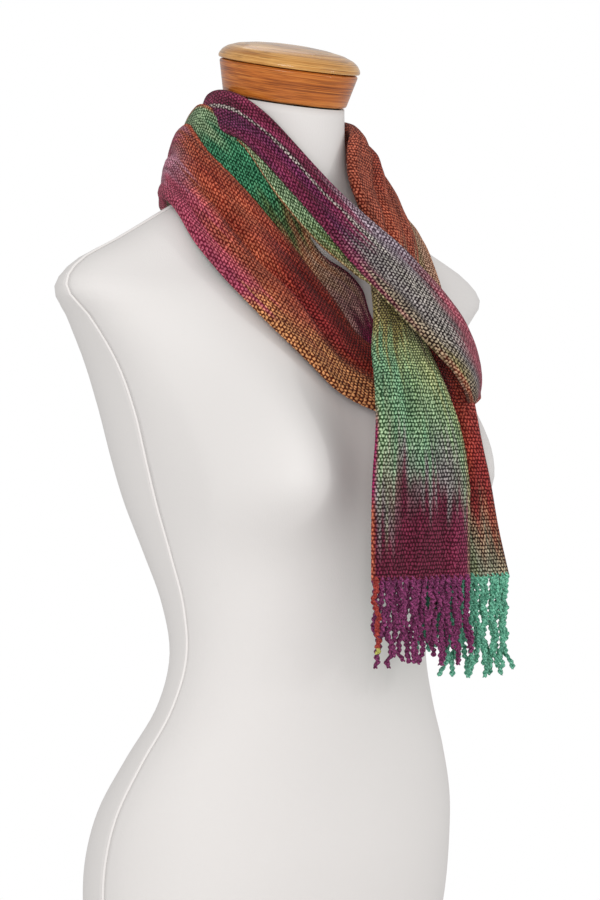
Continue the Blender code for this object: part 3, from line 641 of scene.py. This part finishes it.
def build_seams(grid, look):
    """A low rounded welt down each side of the jersey and round its lower edge."""
    for name, column in (("side_seam_left", 0), ("side_seam_right", COLUMNS // 2)):
        middle = grid[:, column]
        nearby = grid[:, (column + 1) % COLUMNS] - grid[:, column - 1]
        welt(name, middle, unit(nearby), look, SEAM_HALF, SEAM_HIGH)
    ring = grid[1]
    up = unit(grid[2] - grid[0])
    welt("hem_seam", np.vstack([ring, ring[:1]]), np.vstack([up, up[:1]]), look, HEM_HALF, HEM_HIGH)


def welt(name, middle, side, look, half, high):
    """A rounded ridge along a line of the form, with side pointing across it."""
    forward = unit(np.gradient(middle, axis=0))
    out = np.cross(side, forward)
    outward = middle[0] - middle.mean(axis=0) * (1, 1, 0) - (0, 0, middle[0][2])
    out = unit(out) * math.copysign(1, outward @ out[0])
    shape = [
        (-1.0, -0.3), (-0.8, 0.35), (-0.4, 0.85), (0.0, 1.0), (0.4, 0.85), (0.8, 0.35), (1.0, -0.3),
        (0.0, -0.8),
    ]
    rings = np.stack([middle + side * half * w + out * high * h for w, h in shape], axis=1)
    points = rings.reshape(-1, 3)
    faces = grid_faces(*rings.shape[:2], True)
    faces += [tuple(range(len(shape))), tuple(range(len(points) - len(shape), len(points)))[::-1]]
    piece(name, points, faces, look, "torso", "white_jersey")


# ------------------------------------------------------------------ turned wood
def turned_points(profile):
    """Turns a profile of (radius, height) points round the vertical axis."""
    rows = np.array(profile, float)
    points, faces = [], []
    for i in range(TURNED_STEPS):
        turn = 2 * math.pi * i / TURNED_STEPS
        points += [(r * math.cos(turn), r * math.sin(turn), h) for r, h in rows]
    count = len(rows)
    for i in range(TURNED_STEPS):
        j = (i + 1) % TURNED_STEPS
        for k in range(count - 1):
            faces.append((i * count + k, j * count + k, j * count + k + 1, i * count + k + 1))
    return points, faces


def rounded(profile, radius, cuts=4):
    """The profile with each inner corner replaced by a short arc."""
    rows = [np.array(p, float) for p in profile]
    out = [rows[0]]
    for before, here, after in zip(rows, rows[1:], rows[2:]):
        a, b = before - here, after - here
        reach = min(radius, 0.45 * np.linalg.norm(a), 0.45 * np.linalg.norm(b))
        start, end = here + a / np.linalg.norm(a) * reach, here + b / np.linalg.norm(b) * reach
        for k in range(cuts + 1):
            t = k / cuts
            out.append((1 - t) ** 2 * start + 2 * t * (1 - t) * here + t**2 * end)
    out.append(rows[-1])
    return out


def build_turned(name, profile, look, slot, node, radius):
    points, faces = turned_points(rounded(profile, radius))
    obj = piece(name, points, faces, look, "neck_cap", slot, node)
    bm = bmesh.new()
    bm.from_mesh(obj.data)
    bmesh.ops.remove_doubles(bm, verts=bm.verts, dist=0.00001)
    bmesh.ops.recalc_face_normals(bm, faces=bm.faces)
    bm.to_mesh(obj.data)
    bm.free()
    obj.data.shade_smooth()
    obj.matrix_world = CAP_FRAME


def build_cap():
    block_tones = ((0.19, 0.042, 0.005), (0.50, 0.135, 0.018), (0.70, 0.26, 0.050))
    lid_tones = ((0.36, 0.13, 0.022), (0.57, 0.27, 0.065), (0.78, 0.44, 0.14))
    block_look = wood_look("cap_block_wood", block_tones, 0.35)
    lid_look = wood_look("cap_lid_wood", lid_tones, 0.6)
    block = [
        (0.0083, 0.0012), (0.0500, 0.0012), (0.0518, 0.0025), (0.0578, 0.0270), (0.0570, 0.0285),
        (0.0545, 0.0290), (0, 0.0290), (0, 0.0210), (0.0083, 0.0210), (0.0083, 0.0012),
    ]
    lid = [
        (0, 0.0293), (0.0560, 0.0293), (0.0588, 0.0298), (0.0594, 0.0312), (0.0588, 0.0335),
        (0.0565, 0.0370), (0.0525, 0.0400), (0.0440, 0.0432), (0.0300, 0.0456), (0.0150, 0.0468),
        (0, 0.0472),
    ]
    build_turned("cap_block", block, block_look, "varnished_wood", "neck_block", 0.0006)
    build_turned("cap_lid", lid, lid_look, "lid_wood", "neck_lid", 0.0015)


# ------------------------------------------------------------------ scarf
def surface_tree(grid):
    points = [Vector(p) for p in grid.reshape(-1, 3)]
    return BVHTree.FromPolygons(points, grid_faces(*grid.shape[:2], True))


def lifted(point, surface, height):
    """The point, moved straight off the form where it is nearer than height."""
    point = Vector(point)
    near, normal, _, far = surface.find_nearest(point)
    side = 1.0 if (point - near).dot(normal) > 0 else -1.0
    if side * far >= height:
        return np.array(point)
    return np.array(near + normal * height)


def strip_stations():
    folded = np.array([row[0] for row in ROUTE])
    opened = np.array([row[1] for row in ROUTE])
    steps = [np.linalg.norm(np.diff(edge, axis=0), axis=1) for edge in (folded, opened)]
    at = np.concatenate([[0], np.cumsum(np.mean(steps, axis=0))])
    rest = np.array([row[2:] for row in ROUTE])
    rows = np.column_stack([at, folded, opened, rest])
    where = np.linspace(0, at[-1], int(at[-1] / STATION_GAP))
    return where, np.interp(where, at, np.arange(len(ROUTE))), spline(rows, where)


def blurred(values, passes):
    """Evens values along the first axis, with both ends held."""
    for _ in range(passes):
        values = values.copy()
        values[1:-1] = (values[:-2] + 2 * values[1:-1] + values[2:]) / 4
    return values


def crease_depth(row, share, width):
    total = 0.0
    for first, last, start, end, depth, half in CREASES:
        if first < row < last:
            t = (row - first) / (last - first)
            centre = start + (end - start) * t + 0.03 * math.sin(row * 1.9 + start * 9)
            inside = first >= 0 and last < len(ROUTE)
            fade = smooth(0, 0.18, t) * smooth(0, 0.18, 1 - t) if inside else 1.0
            total += depth * fade * math.exp(-(((share - centre) * width / half) ** 2))
    return total


def front_height(row, share, width, at):
    """How far the outer layer's middle stands off the strip's middle."""
    bulge = np.interp(row, [b[0] for b in BULGE], [b[1] for b in BULGE])
    crown = math.sin(math.pi * min(1.0, max(0.0, share))) ** 0.6
    ripple = noise.noise(Vector((at * 34, share * width * 60, 3.1)))
    fine = noise.noise(Vector((at * 90, share * width * 150, 7.7)))
    flat = LAYER * (1 - 0.72 * smooth(0.9, 1.0, share))
    high = flat + bulge * crown - crease_depth(row, share, width)
    return max(0.28 * LAYER, high) + crown * (0.0012 * ripple + 0.0004 * fine)


def section(i, at, row, station, out, middle):
    """One station's cloth, from the tucked-in edge over the outer flap, round the fold and along
    the inner flap to its own edge."""
    folded, opened, lip = station[0:3], station[3:6], max(0.0, station[7])
    across = opened - folded
    width = np.linalg.norm(across)
    side = across / width
    shares = np.linspace(1.0, NOSE, FRONT_POINTS)
    ragged = 0.0006 * noise.noise(Vector((at * 240, 1.5, 0)))
    front = []
    for share in shares:
        base = middle(i, share) + side * (ragged if share > 0.99 else 0)
        front.append(base + out * front_height(row, share, width, at))
    arc = np.linalg.norm(np.diff(front, axis=0), axis=1).sum()
    tuck = min(max(FLAP - arc, TUCK_LEAST), TUCK_MOST * width)
    points = []
    for k in range(TUCK_POINTS):
        share = 1 - (tuck * (1 - k / (TUCK_POINTS - 1)) ** 0.8 + 0.0012) / width
        points.append(middle(i, share) + out * LAYER * 0.02)
    points += front
    start = middle(i, NOSE)
    for k in range(1, NOSE_POINTS + 1):
        turn = math.pi * k / (NOSE_POINTS + 1)
        points.append(start - side * (NOSE * width) * math.sin(turn) + out * LAYER * math.cos(turn))
    reach = 1.0 + lip / width
    for k in range(REAR_POINTS):
        share = NOSE + (reach - NOSE) * k / (REAR_POINTS - 1)
        sag = 0.0009 * noise.noise(Vector((at * 30, share * 3, 11.0)))
        close = 1 - 0.6 * smooth(0.9, 1.0, share) * (lip < 0.002)
        points.append(middle(i, share) - out * (LAYER * close - abs(sag)))
    return points


def least_height(row, share, height, width, lip):
    """The clearance over the form, which differs towards the fold and under the rear flap's edge."""
    if share < 0.5 and FOLD_HEIGHT[0][0] < row < FOLD_HEIGHT[-1][0]:
        low = np.interp(row, [h[0] for h in FOLD_HEIGHT], [h[1] for h in FOLD_HEIGHT])
        return low + (height - low) * share / 0.5
    if share > 1.0 and lip > 0.003 and row > LIP_HEIGHT[0][0]:
        edge = np.interp(row, [h[0] for h in LIP_HEIGHT], [h[1] for h in LIP_HEIGHT])
        return height + (edge - height) * min(1.0, (share - 1.0) * width / lip)
    return height


def scarf_grid(form):
    at, rows, stations = strip_stations()
    stations = np.column_stack([blurred(stations[:, k], 4) for k in range(stations.shape[1])])
    along = np.gradient(stations[:, 0:3], axis=0)
    out = unit(np.cross(stations[:, 3:6] - stations[:, 0:3], along))
    out = unit(blurred(out, 6))
    shares = np.linspace(0.0, 2.0, round(2.0 / LANE) + 1)
    base = np.zeros((len(at), len(shares), 3))
    for i, station in enumerate(stations):
        folded, opened = station[0:3], station[3:6]
        for j, share in enumerate(shares):
            width = np.linalg.norm(opened - folded)
            height = least_height(rows[i], share, station[6], width, station[7])
            base[i, j] = lifted(folded + (opened - folded) * share, form, height)
    base = blurred(base, 10)

    def middle(i, share):
        place = max(0.0, min(share, 2.0)) / LANE
        low = min(int(place), len(shares) - 2)
        return base[i, low] + (base[i, low + 1] - base[i, low]) * (place - low)

    count = range(len(at))
    return at, rows, np.array([section(i, at[i], rows[i], stations[i], out[i], middle) for i in count])


def dye_table():
    """The plan's rows and, for grounds (0) and dots (1), their colours in linear light."""
    at = [entry[0] for entry in DYE_PLAN]
    table = {}
    for kind in (0, 1):
        rows = [[linear(DYES[name][kind]) for name in entry[1].split()] for entry in DYE_PLAN]
        table[kind] = np.array(rows)
    return np.array(at), table


def dye_at(row, front, at, table):
    """The cloth's colour at a row, front being the share from fold to open edge, or None."""
    i = int(np.clip(np.searchsorted(at, row, "right") - 1, 0, len(at) - 2))
    t = min(1.0, max(0.0, (row - at[i]) / (at[i + 1] - at[i])))
    t = t * t * (3 - 2 * t)
    line = table[i] * (1 - t) + table[i + 1] * t
    if front is None:
        return line[5]
    place = min(max(front, 0.0), 1.0) * 4
    low = min(int(place), 3)
    return line[low] + (line[low + 1] - line[low]) * (place - low)


def thread_share(row, front):
    """The bright thread that runs here, if any, and how much of the colour is its own."""
    for first, last, start, end, half, name in THREADS:
        centre = start + (end - start) * (row - first) / (last - first)
        if front is not None and first < row < last and abs(front - centre) < half:
            return name, 0.85 * smooth(0, 0.6, row - first) * smooth(0, 0.6, last - row)
    return None, 0.0


def selvage_colour(row, plan, kind):
    at = [entry[0] for entry in plan]
    colours = np.array([linear(DYES[entry[1]][kind]) for entry in plan])
    return np.array([np.interp(row, at, colours[:, k]) for k in range(3)])


def place_on_cloth(row, j, count):
    """The share from fold to open edge, None on the inner flap, and the edge yarns' plan, if any."""
    nose_start = TUCK_POINTS + FRONT_POINTS
    if j < TUCK_POINTS:
        return 0.98, None
    if j < nose_start:
        front = 1.0 - (j - TUCK_POINTS) / (FRONT_POINTS - 1)
        return front, OUTER_SELVAGE if j < TUCK_POINTS + 2 else None
    if j < nose_start + NOSE_POINTS:
        return 0.0, FOLD_EDGE if row < FOLD_EDGE[-1][0] and j > nose_start else None
    return None, INNER_SELVAGE if j == count - 1 else None


def scarf_colours(at, rows, grid):
    """Ground and dot colours at each point, feathered along the warp as dyed yarn is."""
    table_at, table = dye_table()
    count = grid.shape[1]
    result = {0: [], 1: []}
    for i in range(len(at)):
        for j in range(count):
            front, edge = place_on_cloth(rows[i], j, count)
            thread = noise.noise(Vector((j * 0.83, 0.37, 5.0)))
            thread += 0.6 * noise.noise(Vector((j * 2.3, at[i] * 9, 1.0)))
            row = rows[i] + 0.9 * thread
            single, own = thread_share(rows[i], front)
            patch = noise.noise(Vector((at[i] * 26, j * 0.20, 9.0)))
            patch += 0.6 * noise.noise(Vector((at[i] * 90, j * 0.5, 3.0)))
            for kind in (0, 1):
                colour = dye_at(row, front, table_at, table[kind])
                if single:
                    colour = colour + (linear(DYES[single][kind]) - colour) * own
                if edge:
                    colour = selvage_colour(rows[i], edge, kind)
                result[kind].append(colour * (1.08 + 0.45 * patch))
    return result


def paint(mesh, name, colours):
    layer = mesh.attributes.new(name, "FLOAT_COLOR", "POINT")
    values = np.clip(np.column_stack([np.array(colours), np.ones(len(colours))]), 0, 1)
    layer.data.foreach_set("color", values.ravel())


def build_scarf(form, look):
    at, rows, grid = scarf_grid(form)
    count = grid.shape[1]
    faces = grid_faces(*grid.shape[:2])
    obj = piece("woven_scarf", grid.reshape(-1, 3), faces, look, "torso", "woven_scarf", "scarf")
    mesh = obj.data
    steps = np.linalg.norm(np.diff(grid, axis=1), axis=2)
    run = np.concatenate([np.zeros((len(at), 1)), np.cumsum(steps, axis=1)], axis=1)
    fold = TUCK_POINTS + FRONT_POINTS + NOSE_POINTS // 2
    run -= run[:, fold : fold + 1]
    uv = np.stack([np.repeat(at[:, None], count, axis=1), run], axis=2).reshape(-1, 2)
    layer = mesh.uv_layers.new(name="weave")
    index = np.empty(len(mesh.loops), int)
    mesh.loops.foreach_get("vertex_index", index)
    layer.data.foreach_set("uv", uv[index].ravel())
    colours = scarf_colours(at, rows, grid)
    paint(mesh, "ground", colours[0])
    paint(mesh, "dots", colours[1])
    thicken(obj, CLOTH, 0)
    return obj


# ------------------------------------------------------------------ fringes
def strand_path(start, length, seed, drift):
    """A limp hanging yarn: it wanders a little on its way down."""
    path = []
    for k in range(int(length / STRAND_STEP)):
        down = k * STRAND_STEP
        free = min(1.0, down / 0.02)
        kink = 0.0026 * noise.noise(Vector((seed * 2.9, down * 230, 8.6)))
        x = (0.0058 * noise.noise(Vector((seed * 7.1, down * 70, 0.2))) + kink) * free
        y = 0.0034 * noise.noise(Vector((seed * 3.7, down * 80, 4.2))) * free
        sway = drift * (down / 0.07) ** 1.5
        path.append(np.array(start) + np.array((x + sway, y, -down)))
    return path


def add_ply(points, faces, path, seed, phase):
    """One ply of a strand as a closed knobbly tube that twists round the strand's path."""
    sides, first = 7, len(points)
    for k, centre in enumerate(path):
        down = k * STRAND_STEP
        turn = phase + down * 2 * math.pi / TWIST
        end = min(1.0, (len(path) - 1 - k) / 2 + 0.35)
        knot = math.exp(-(((down - KNOT_AT) / KNOT_HALF) ** 2))
        knobble = 1 + 0.34 * noise.noise(Vector((seed * 5.3, down * 420, phase)))
        wide = PLY * knobble * end * (1 + 0.5 * knot)
        at = centre + np.array((math.cos(turn), math.sin(turn), 0)) * PLY * 0.72
        for s in range(sides):
            angle = 2 * math.pi * s / sides
            points.append(at + np.array((math.cos(angle), math.sin(angle), 0.0)) * wide)
    for k in range(len(path) - 1):
        for s in range(sides):
            a, b = first + k * sides + s, first + k * sides + (s + 1) % sides
            faces.append((a, a + sides, b + sides, b))
    faces.append(tuple(first + s for s in range(sides)))
    last = first + (len(path) - 1) * sides
    faces.append(tuple(last + s for s in reversed(range(sides))))


def build_fringe(name, node, ends, lengths, strands, main, odd, look, slot, hidden=0.0):
    """Two rows of strands between a tail's corners; those behind the other tail are shorter."""
    left, right = (np.array(end) for end in ends)
    side = unit(right - left)
    inward = np.array((-side[1], side[0], 0))
    points, faces, ground, dots = [], [], [], []
    for i in range(strands):
        layer = i % 2
        share = (i + 0.5 + 0.35 * math.sin(i * 4.7)) / strands
        start = left + (right - left) * share + inward * FRINGE_DEPTH * (layer - 0.5)
        start = start + np.array((0, 0, 0.003))
        length = lengths[0] + (lengths[1] - lengths[0]) * (0.5 + 0.5 * math.sin(2.3 * i + 0.7 * layer))
        length *= 0.74 if share < hidden else 1.0
        drift = 0.006 * math.sin(i * 1.7)
        before = len(points)
        path = strand_path(start, length, i + 1, drift)
        for phase in (0.0, math.pi):
            add_ply(points, faces, path, i + 1 + phase, phase)
        for index in range(before, len(points)):
            down = (start[2] - points[index][2]) / length
            dye = odd(i, strands, down) or main if odd else main
            mottled = 1 + 0.35 * noise.noise(Vector((i * 3.3, down * 9, 2.0)))
            ground.append(linear(DYES[dye][0]) * mottled)
            dots.append(linear(DYES[dye][1]) * mottled)
    obj = piece(name, points, faces, look, "torso", slot, node)
    paint(obj.data, "ground", ground)
    paint(obj.data, "dots", dots)
    return obj


def front_odd(i, strands, down):
    """The few red strands in the purple fringe, one with a pale tip."""
    if i == 0:
        return "pale yarn" if down > 0.9 else "red yarn"
    if i == int(strands * 0.62) and down > 0.25 and down < 0.62:
        return "red yarn"
    return None


# ------------------------------------------------------------------ stand
def stand_looks():
    base_tones = ((0.20, 0.06, 0.015), (0.36, 0.13, 0.035), (0.48, 0.20, 0.06))
    dark, grey = (0.12, 0.12, 0.13), (0.24, 0.24, 0.25)
    black, soft_black = (0.02, 0.02, 0.02), (0.04, 0.04, 0.04)
    felt, pale_felt = (0.05, 0.09, 0.06), (0.12, 0.18, 0.13)
    return {
        "felt": plain_look("felt", felt, pale_felt, 0.9, 700, 0.0004, Sheen_Weight=0.3),
        "base_wood": wood_look("base_wood", base_tones, 0.5),
        "dark_steel": metal_look("dark_steel", dark, grey, 0.38, 0.55, (300, 300, 300)),
        "steel": metal_look("steel", (0.52, 0.52, 0.53), (0.70, 0.70, 0.71), 0.22, 0.36, (40, 40, 1400)),
        "nylon": plain_look("nylon", (0.72, 0.72, 0.69), (0.82, 0.82, 0.79), 0.5, 300, 0.0001),
        "black_plastic": plain_look("black_plastic", black, soft_black, 0.42, 1200, 0.0002),
        "pale_wood": pale_wood_look(),
    }


def dress_nodes():
    looks = stand_looks()
    plan = {
        "felt": ["base_pad"],
        "base_wood": ["base_disc"],
        "dark_steel": ["weight_plate", "tube_grub_screw", "lock_screw"]
        + [f"floor_flange_screw_{i}" for i in range(1, 5)]
        + [f"socket_flange_screw_{i}" for i in range(1, 5)],
        "steel": ["floor_flange", "outer_tube", "height_collar", "inner_mast", "socket_flange"],
        "nylon": ["guide_bush", "thrust_washer"],
        "black_plastic": ["lock_knob"],
        "pale_wood": ["base_board", "neck_plate", "neck_dowel"],
    }
    for look, nodes in plan.items():
        for node in nodes:
            obj = bpy.data.objects[node]
            obj.data.materials.clear()
            obj.data.materials.append(looks[look])


# ------------------------------------------------------------------ room
def build_floor():
    floor = bpy.data.meshes.new("floor")
    bm = bmesh.new()
    bmesh.ops.create_circle(bm, cap_ends=True, segments=96, radius=1.2)
    bm.to_mesh(floor)
    bm.free()
    n = Nodes("floor", 0.7)
    marks = n.noise(n.place(), 6, 2)
    n.colour(n.ramp(marks, (0.3, (0.83, 0.83, 0.83)), (0.7, (0.86, 0.86, 0.86))))
    floor.materials.append(n.material)
    obj = bpy.data.objects.new("floor", floor)
    obj.location = (0, 0, -0.0005)
    bpy.context.scene.collection.objects.link(obj)


def build_world():
    """A white backdrop that lights the model from all round a little less than it shows."""
    world = bpy.data.worlds.new("studio")
    bpy.context.scene.world = world
    world.use_nodes = True
    tree = world.node_tree
    back = tree.nodes["Background"]
    back.inputs["Color"].default_value = (1, 1, 1, 1)
    seen = tree.nodes.new("ShaderNodeLightPath")
    level = tree.nodes.new("ShaderNodeMapRange")
    level.inputs["To Min"].default_value = WORLD_LIGHT
    level.inputs["To Max"].default_value = WORLD_SEEN
    tree.links.new(seen.outputs["Is Camera Ray"], level.inputs["Value"])
    tree.links.new(level.outputs["Result"], back.inputs["Strength"])


def lamp(name, at, size, power):
    light = bpy.data.lights.new(name, "AREA")
    light.shape = "DISK"
    light.size = size
    light.energy = power
    obj = bpy.data.objects.new(name, light)
    obj.location = at
    aim = Vector(LAMP_TARGET) - Vector(at)
    obj.rotation_mode = "QUATERNION"
    obj.rotation_quaternion = aim.to_track_quat("-Z", "Y")
    bpy.context.scene.collection.objects.link(obj)


def build_camera():
    right = Vector((math.cos(VIEW_TURN), -math.sin(VIEW_TURN), 0))
    ahead = Vector((math.sin(VIEW_TURN), math.cos(VIEW_TURN), 0))
    data = bpy.data.cameras.new("camera")
    data.sensor_width = SENSOR
    data.lens = LENS
    obj = bpy.data.objects.new("camera", data)
    obj.location = right * CAMERA_SIDE - ahead * CAMERA_BACK + Vector((0, 0, CAMERA_Z))
    obj.rotation_mode = "QUATERNION"
    obj.rotation_quaternion = ahead.to_track_quat("-Z", "Y")
    bpy.context.scene.collection.objects.link(obj)
    bpy.context.scene.camera = obj
    bpy.context.scene.view_settings.view_transform = "Standard"


# ------------------------------------------------------------------ everything
def main():
    build_camera()
    build_floor()
    build_world()
    for values in LAMPS:
        lamp(*values)
    jersey = jersey_look()
    yarn = yarn_look()
    dress_nodes()
    grid = evened(torso_grid())
    build_shell(grid, plain_look("shell", (0.55, 0.51, 0.43), (0.66, 0.62, 0.54), 0.7, 200, 0.0004))
    build_jersey(grid, jersey)
    # The welts use the jersey 1.12 times lighter: a painted highlight along the raised seams, not a
    # different thread
    build_seams(grid, jersey_look("seam_painted_highlight_jersey", 1.12))
    build_cap()
    form = surface_tree(grid)
    scarf = build_scarf(form, weave_look())
    front = build_fringe(
        "front_fringe_yarn", "front_fringe", ROUTE[0][:2], (0.050, 0.074), 32,
        "purple", front_odd, yarn, "purple_yarn",
    )
    rear = build_fringe(
        "rear_fringe_yarn", "rear_fringe", ROUTE[-1][1::-1], (0.068, 0.086), 38,
        "teal", None, yarn, "teal_yarn", hidden=0.34,
    )


main()
